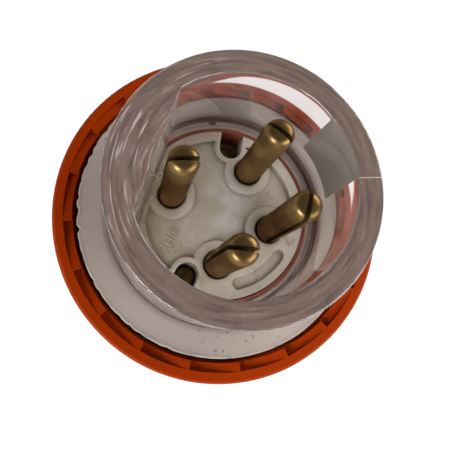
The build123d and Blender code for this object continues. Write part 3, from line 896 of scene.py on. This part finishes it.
class PLUG_OT_skirt(bpy.types.Operator):
    """Smooth clear skirt in place of the CAD skirt"""

    bl_idname = "plug.skirt"
    bl_label = "Clear skirt"

    def execute(self, context):
        sizes = context.scene.plug_sizes
        press = sizes.contact
        outer = sizes.skirt_radius
        edge = sizes.edge_round
        mouth = 0.4 * MM  # rounding of the bore's mouth
        fillet = 0.3 * MM  # rounding between wall and flange
        key_corner = 0.1 * MM  # rounding where the key flat meets the round bore
        seal_height = 1.9 * MM  # the bore is round below this, beside the seal
        seat, rim = SKIRT_LOW.z - press, SKIRT_HIGH.z
        root = seat + seal_height
        flange = SKIRT_HIGH.x + 2 * press
        flange_top = GASKET_LOW.z + press

        def bore(height, grow=0.0):
            share = (height - seat) / (rim - seat)
            radius = sizes.bore - sizes.bore_taper * share + grow

            def level(angle):
                across = math.cos(math.radians(angle - 180.0))
                if across <= 0.05:
                    return radius, height
                flat = (sizes.bore_flat + grow) / across
                near = math.exp(-radius / key_corner) + math.exp(-flat / key_corner)
                return -key_corner * math.log(near), height

            return level

        wall_height = rim - edge - flange_top
        bore_height = rim - mouth - root
        levels = [steady(outer, flange_top + fillet)]
        levels += [steady(outer, flange_top + wall_height * k / 6) for k in range(1, 6)]
        levels += rounded_corner(outer - edge, rim - edge, edge, 0.0, 90.0)
        for k in range(6):
            turn = math.radians(90.0 * k / 5)
            levels.append(bore(rim - mouth * (1 - math.cos(turn)), mouth * (1 - math.sin(turn))))
        levels += [bore(rim - mouth - bore_height * k / 8) for k in range(1, 9)]
        levels += [steady(sizes.bore, root), steady(sizes.bore, seat)]
        levels += [steady(flange, seat), steady(flange, flange_top)]
        levels.append(steady(outer + fillet, flange_top))
        levels += rounded_corner(outer + fillet, flange_top + fillet, fillet, 250.0, 200.0, 3)
        mesh = shell_mesh("clear_skirt", levels, 40.0)
        # Bare moulded walls: clear, with a faint milky haze on the inside
        wall = clear_polycarbonate(
            "moulded_clear_polycarbonate", sizes.smoke, srgb("DCD2CC"), sizes.wall_haze, False
        )
        # End face, frosted by handling: milky, with scuffs and the mould's parting line
        end = clear_polycarbonate(
            "frosted_clear_polycarbonate", sizes.smoke, sizes.rim_colour, sizes.rim_haze, True
        )
        # Faces that stand on the body and its lip: pale and nearly opaque, as painted light for the light
        # that comes through the clear plastic
        foot = clear_polycarbonate(
            "greased_clear_polycarbonate", sizes.smoke, srgb("F6F0EA"), sizes.foot_painted_light, True
        )
        piece = link_piece("clear_skirt", mesh, wall)
        mesh.materials.append(end)
        mesh.materials.append(foot)
        for face in mesh.polygons:
            if face.normal.z > 0.8 and face.center.z > rim - 0.5 * MM:
                face.material_index = 1
            elif face.normal.z < -0.8 and face.center.z < root + 0.1 * MM:
                face.material_index = 2
        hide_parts("front_shroud")
        return {"FINISHED"}


class PLUG_OT_gasket(bpy.types.Operator):
    """Rubber gasket with an uneven, slightly torn outer edge"""

    bl_idname = "plug.gasket"
    bl_label = "Face gasket"

    def execute(self, context):
        sizes = context.scene.plug_sizes
        low, high = GASKET_LOW.z, GASKET_HIGH.z
        bore = sizes.skirt_radius + 0.1 * MM
        edge = GASKET_HIGH.x
        face = high - 0.14 * MM  # face inside the raised lip
        around = 2.2  # radius of the circle through the noise, 14 of its cells long

        # The edge has long waves with ripples a third as long, and short tears on its worn side
        def outline(inset, height, depth=1.0):
            def level(angle):
                turn = math.radians(angle)
                where = Vector((math.cos(turn) * around, math.sin(turn) * around, 3.0))
                wave = 0.5 + 0.5 * noise.noise(where) + 0.25 * noise.noise(where * 3.1)
                worn_side = max(0.0, math.cos(turn - WORN_ANGLE)) ** 2
                torn = sizes.gasket_tear * worn_side * max(0.0, noise.noise(where * 8.0))
                cut = min(sizes.gasket_wave * wave, 1.4 * sizes.gasket_wave) + torn
                return edge - inset - max(0.0, cut * depth), height

            return level

        levels = [
            steady(bore, low),
            outline(0.0, low, 0.6),
            outline(0.0, high - 0.15 * MM),
            outline(0.15 * MM, high),
            outline(0.45 * MM, high),
            outline(0.75 * MM, high - 0.1 * MM),
            outline(1.05 * MM, face),
            outline(2.5 * MM, face, 0.3),
            steady(bore + 1.5 * MM, face),
            steady(bore + 0.05 * MM, face),
            steady(bore, face - 0.05 * MM),
        ]
        mesh = shell_mesh("face_gasket_skin", levels, 50.0)
        rubber = moulded_rubber("moulded_pale_rubber", "80756E")
        piece = link_piece("face_gasket_skin", mesh, rubber)
        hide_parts("face_gasket")
        return {"FINISHED"}


class PLUG_OT_thread(bpy.types.Operator):
    """Two-start inside thread of the coupling ring"""

    bl_idname = "plug.thread"
    bl_label = "Ring thread"

    def execute(self, context):
        sizes = context.scene.plug_sizes
        wall = 36.5 * MM  # ring's inside, which the thread stands on
        crest = 34.98 * MM  # the thread comes this near to the axis
        sunk = 0.2 * MM  # the thread's foot reaches this far into the wall
        foot_half, crest_half = 0.7 * MM, 0.25 * MM
        top = RING_HIGH.z - 2.3 * MM  # below the ring's front
        bottom = RING_LOW.z + 12.5 * MM  # above its rear end
        turns = (top - bottom) / sizes.thread_pitch
        steps = int(turns * 120)
        bm = bmesh.new()
        for start in (0.0, math.pi):
            rows = []
            for i in range(steps + 1):
                turn = start + 2 * math.pi * turns * i / steps
                rise = bottom + (top - bottom) * i / steps
                # The thread rises over its first 40 steps and halves over its last 6
                depth = (wall - crest) * min(1.0, i / 40, (steps - i + 6) / 12)
                profile = [
                    (wall + sunk, -foot_half),
                    (wall - depth, -crest_half),
                    (wall - depth, crest_half),
                    (wall + sunk, foot_half),
                ]
                x, y = math.cos(turn), math.sin(turn)
                rows.append([bm.verts.new((r * x, r * y, rise + z)) for r, z in profile])
            for this, after in zip(rows, rows[1:]):
                for k in range(4):
                    m = (k + 1) % 4
                    bm.faces.new((this[k], this[m], after[m], after[k]))
            bm.faces.new(rows[0][::-1])
            bm.faces.new(rows[-1])
        bmesh.ops.recalc_face_normals(bm, faces=bm.faces)
        mesh = bpy.data.meshes.new("ring_thread")
        bm.to_mesh(mesh)
        bm.free()
        mesh.shade_smooth()
        mesh.set_sharp_from_angle(angle=math.radians(35))
        material = bpy.data.materials["moulded_orange_polycarbonate"]
        piece = link_piece("ring_thread", mesh, material, RING_BODY)
        return {"FINISHED"}


class PLUG_OT_marks(bpy.types.Operator):
    """Rating, terminal letters and signs moulded on the carrier's face"""

    bl_idname = "plug.marks"
    bl_label = "Moulded marks"

    def execute(self, context):
        sizes = context.scene.plug_sizes
        material = bpy.data.materials["moulded_beige_letters"]
        for name, text, start, end, height, sunk in LETTERS:
            curve = bpy.data.curves.new(name, "FONT")
            curve.body = text
            curve.extrude = 0.5
            curve.resolution_u = 4
            holder = bpy.data.objects.new(name, curve)
            mesh = bpy.data.meshes.new_from_object(holder)
            mesh.name = name
            bpy.data.objects.remove(holder)
            bpy.data.curves.remove(curve)
            self.lay(mesh, start, end, height, sunk, sizes.mark_rise)
            link_piece(name, mesh, material)
        for name, start, end, height, bars in SIGNS:
            mesh = bars_mesh(name, bars)
            self.lay(mesh, start, end, height, False, sizes.mark_rise)
            link_piece(name, mesh, material)
        return {"FINISHED"}

    def lay(self, mesh, start, end, height, sunk, rise):
        """Fit a flat mark between two places on the face, in millimetres, with a given height."""
        low = [min(v.co[k] for v in mesh.vertices) for k in range(3)]
        high = [max(v.co[k] for v in mesh.vertices) for k in range(3)]
        run = Vector((end[0] - start[0], end[1] - start[1]))
        middle = ((start[0] + end[0]) / 2 * MM, (start[1] + end[1]) / 2 * MM)
        level = FACE_Z - (POCKET_DEPTH if sunk else 0.0)
        centre = Matrix.Translation([-(a + b) / 2 for a, b in zip(low, high)])
        across, tall = run.length * MM / (high[0] - low[0]), height * MM / (high[1] - low[1])
        scale = Matrix.Diagonal((across, tall, 2 * rise / (high[2] - low[2]), 1.0))
        turn = Matrix.Rotation(math.atan2(run.y, run.x), 4, "Z")
        mesh.transform(Matrix.Translation((*middle, level)) @ turn @ scale @ centre)


class PLUG_OT_finishes(bpy.types.Operator):
    """Finishes of the CAD nodes that stay"""

    bl_idname = "plug.finishes"
    bl_label = "Finishes"

    def execute(self, context):
        sizes = context.scene.plug_sizes
        orange = orange_polycarbonate(sizes.orange)
        thermoset = moulded_thermoset(sizes.beige)
        brass = turned_brass(sizes.brass)
        # Zinc plating that has yellowed: dull gold heads deep in their tunnels
        steel = plain_finish("yellowed_zinc_on_steel", "705834", 0.35, metallic=1.0)
        # Natural moulded nylon: off-white and satin
        nylon = plain_finish("moulded_nylon", "D9D6CC", 0.5)
        # Moulded cable rubber: nearly black and dull
        black = plain_finish("moulded_black_rubber", "1C1C1D", 0.6)
        # Moulded seal rubber: a pale double line behind the clear root of the skirt
        seal = plain_finish("moulded_grey_rubber", "D2BEB2", 0.5)
        # The carrier's plastic where it stands proud: cleaner and smoother than the face
        plain_finish("moulded_beige_letters", "C6BDAC", 0.42, strength=0.02)
        # Blank adhesive film: grey, flat and a little uneven
        film = plain_finish("blank_label_film", "857E71", 0.5, grain_mm=0.6)
        chosen = {
            "coupling_ring": orange,
            "rear_housing": orange,
            "gland_nut": orange,
            "pin_carrier": thermoset,
            "pin_retainer": thermoset,
            "shroud_label": film,
            "shroud_seal": seal,
            "gland_seal": black,
            "gland_washer": nylon,
            "gland_claw": nylon,
        }
        for node in NODES:
            if "pin" in node and node.split("_")[0] in ("earth", "line"):
                chosen[node] = brass
            elif "screw" in node:
                chosen[node] = steel
        for node, material in chosen.items():
            dress(node, material)
        return {"FINISHED"}


class PLUG_OT_stage(bpy.types.Operator):
    """Pale floor, soft lamps and the camera of the product picture"""

    bl_idname = "plug.stage"
    bl_label = "Stage"

    def execute(self, context):
        scene = context.scene
        scene.view_settings.view_transform = "Standard"
        self.floor()
        self.world(scene)
        self.lamps()
        self.camera(scene)
        return {"FINISHED"}

    def floor(self):
        material, tree, output = new_material("studio_floor")
        paths = add(tree, "ShaderNodeLightPath")
        paper = add(tree, "ShaderNodeBsdfDiffuse", {"Color": srgb("F2F2F2")})
        white = add(tree, "ShaderNodeEmission", {"Color": srgb("FFFFFF"), "Strength": 1.0})
        seen = add(
            tree,
            "ShaderNodeMath",
            {0: paths.outputs["Is Camera Ray"], 1: paths.outputs["Is Transmission Ray"]},
            operation="MAXIMUM",
        )
        coords = add(tree, "ShaderNodeTexCoord").outputs["Object"]
        # Near the plug a little of the paper shows, so that the plug's soft shadow lies on it
        near = ring_mask(tree, coords, 0.55, 0.30)
        glow = add(tree, "ShaderNodeMapRange", {"Value": near, "To Min": 1.0, "To Max": 0.85})
        share = add(
            tree, "ShaderNodeMath", {0: seen.outputs[0], 1: glow.outputs[0]}, operation="MULTIPLY"
        )
        both = add(
            tree,
            "ShaderNodeMixShader",
            {0: share.outputs[0], 1: paper.outputs[0], 2: white.outputs[0]},
        )
        tree.links.new(both.outputs[0], output.inputs["Surface"])
        mesh = bpy.data.meshes.new("studio_floor")
        half = 1.6  # metres
        corners = [(-half, -half, 0), (half, -half, 0), (half, half, 0), (-half, half, 0)]
        mesh.from_pydata(corners, [], [(0, 1, 2, 3)])
        mesh.materials.append(material)
        sheet = bpy.data.objects.new("studio_floor", mesh)
        bpy.context.scene.collection.objects.link(sheet)

    def world(self, scene):
        world = bpy.data.worlds.new("studio_air")
        world.use_nodes = True
        tree = world.node_tree
        tree.nodes.clear()
        output = tree.nodes.new("ShaderNodeOutputWorld")
        coords = add(tree, "ShaderNodeTexCoord").outputs["Generated"]
        parts = add(tree, "ShaderNodeSeparateXYZ", {"Vector": coords})
        sky = add(
            tree,
            "ShaderNodeValToRGB",
            {"Fac": parts.outputs["Z"]},
            stops=[(0.15, srgb("FFFEFC")), (0.62, srgb("7E7A73")), (0.95, srgb("4E4B46"))],
        )
        air = add(tree, "ShaderNodeBackground", {"Color": sky.outputs[0], "Strength": 1.15})
        white = add(tree, "ShaderNodeBackground", {"Color": srgb("FFFFFF"), "Strength": 1.0})
        seen = add(tree, "ShaderNodeLightPath").outputs["Is Camera Ray"]
        both = add(tree, "ShaderNodeMixShader", {0: seen, 1: air.outputs[0], 2: white.outputs[0]})
        tree.links.new(both.outputs[0], output.inputs["Surface"])
        scene.world = world

    def lamps(self):
        plans = [
            ("key_softbox", (-0.28, -0.62, 0.50), 0.40, 10.4),
            ("side_softbox", (0.60, -0.20, 0.42), 0.50, 6.5),
            ("back_softbox", (0.42, 0.54, 0.42), 0.40, 7.0),
        ]
        target = Vector((0, 0, FACE_Z))
        for name, place, width, power in plans:
            lamp = bpy.data.lights.new(name, "AREA")
            lamp.shape = "SQUARE"
            lamp.size = width
            lamp.energy = power
            made = bpy.data.objects.new(name, lamp)
            made.location = place
            made.rotation_euler = (target - Vector(place)).to_track_quat("-Z", "Y").to_euler()
            bpy.context.scene.collection.objects.link(made)

    def camera(self, scene):
        lens = bpy.data.cameras.new("product_camera")
        lens.sensor_width = 36.0
        lens.lens = 40.74
        lens.shift_x = -0.0087
        lens.shift_y = -0.105
        lens.clip_start = 0.01
        camera = bpy.data.objects.new("product_camera", lens)
        camera.location = (-12.84 * MM, -30.66 * MM, 224.04 * MM)
        camera.rotation_euler = Euler([math.radians(a) for a in (15.195, -10.894, 18.035)], "XYZ")
        scene.collection.objects.link(camera)
        scene.camera = camera


class PLUG_PT_panel(bpy.types.Panel):
    """Sizes, colours and steps of the plug"""

    bl_idname = "PLUG_PT_panel"
    bl_label = "Waterproof plug"
    bl_space_type = "VIEW_3D"
    bl_region_type = "UI"
    bl_category = "Plug"

    def draw(self, context):
        sizes = context.scene.plug_sizes
        for name in PlugSizes.__annotations__:
            self.layout.prop(sizes, name)
        for step in STEPS:
            self.layout.operator(step.bl_idname)


STEPS = (
    PLUG_OT_finishes,
    PLUG_OT_skirt,
    PLUG_OT_gasket,
    PLUG_OT_thread,
    PLUG_OT_marks,
    PLUG_OT_stage,
)
CLASSES = (PlugSizes, *STEPS, PLUG_PT_panel)


def register():
    for made in CLASSES:
        bpy.utils.register_class(made)
    bpy.types.Scene.plug_sizes = PointerProperty(type=PlugSizes)


def unregister():
    del bpy.types.Scene.plug_sizes
    for made in reversed(CLASSES):
        bpy.utils.unregister_class(made)


def main():
    register()
    for step in STEPS:
        group, name = step.bl_idname.split(".")
        getattr(getattr(bpy.ops, group), name)()


if __name__ == "__main__":
    main()
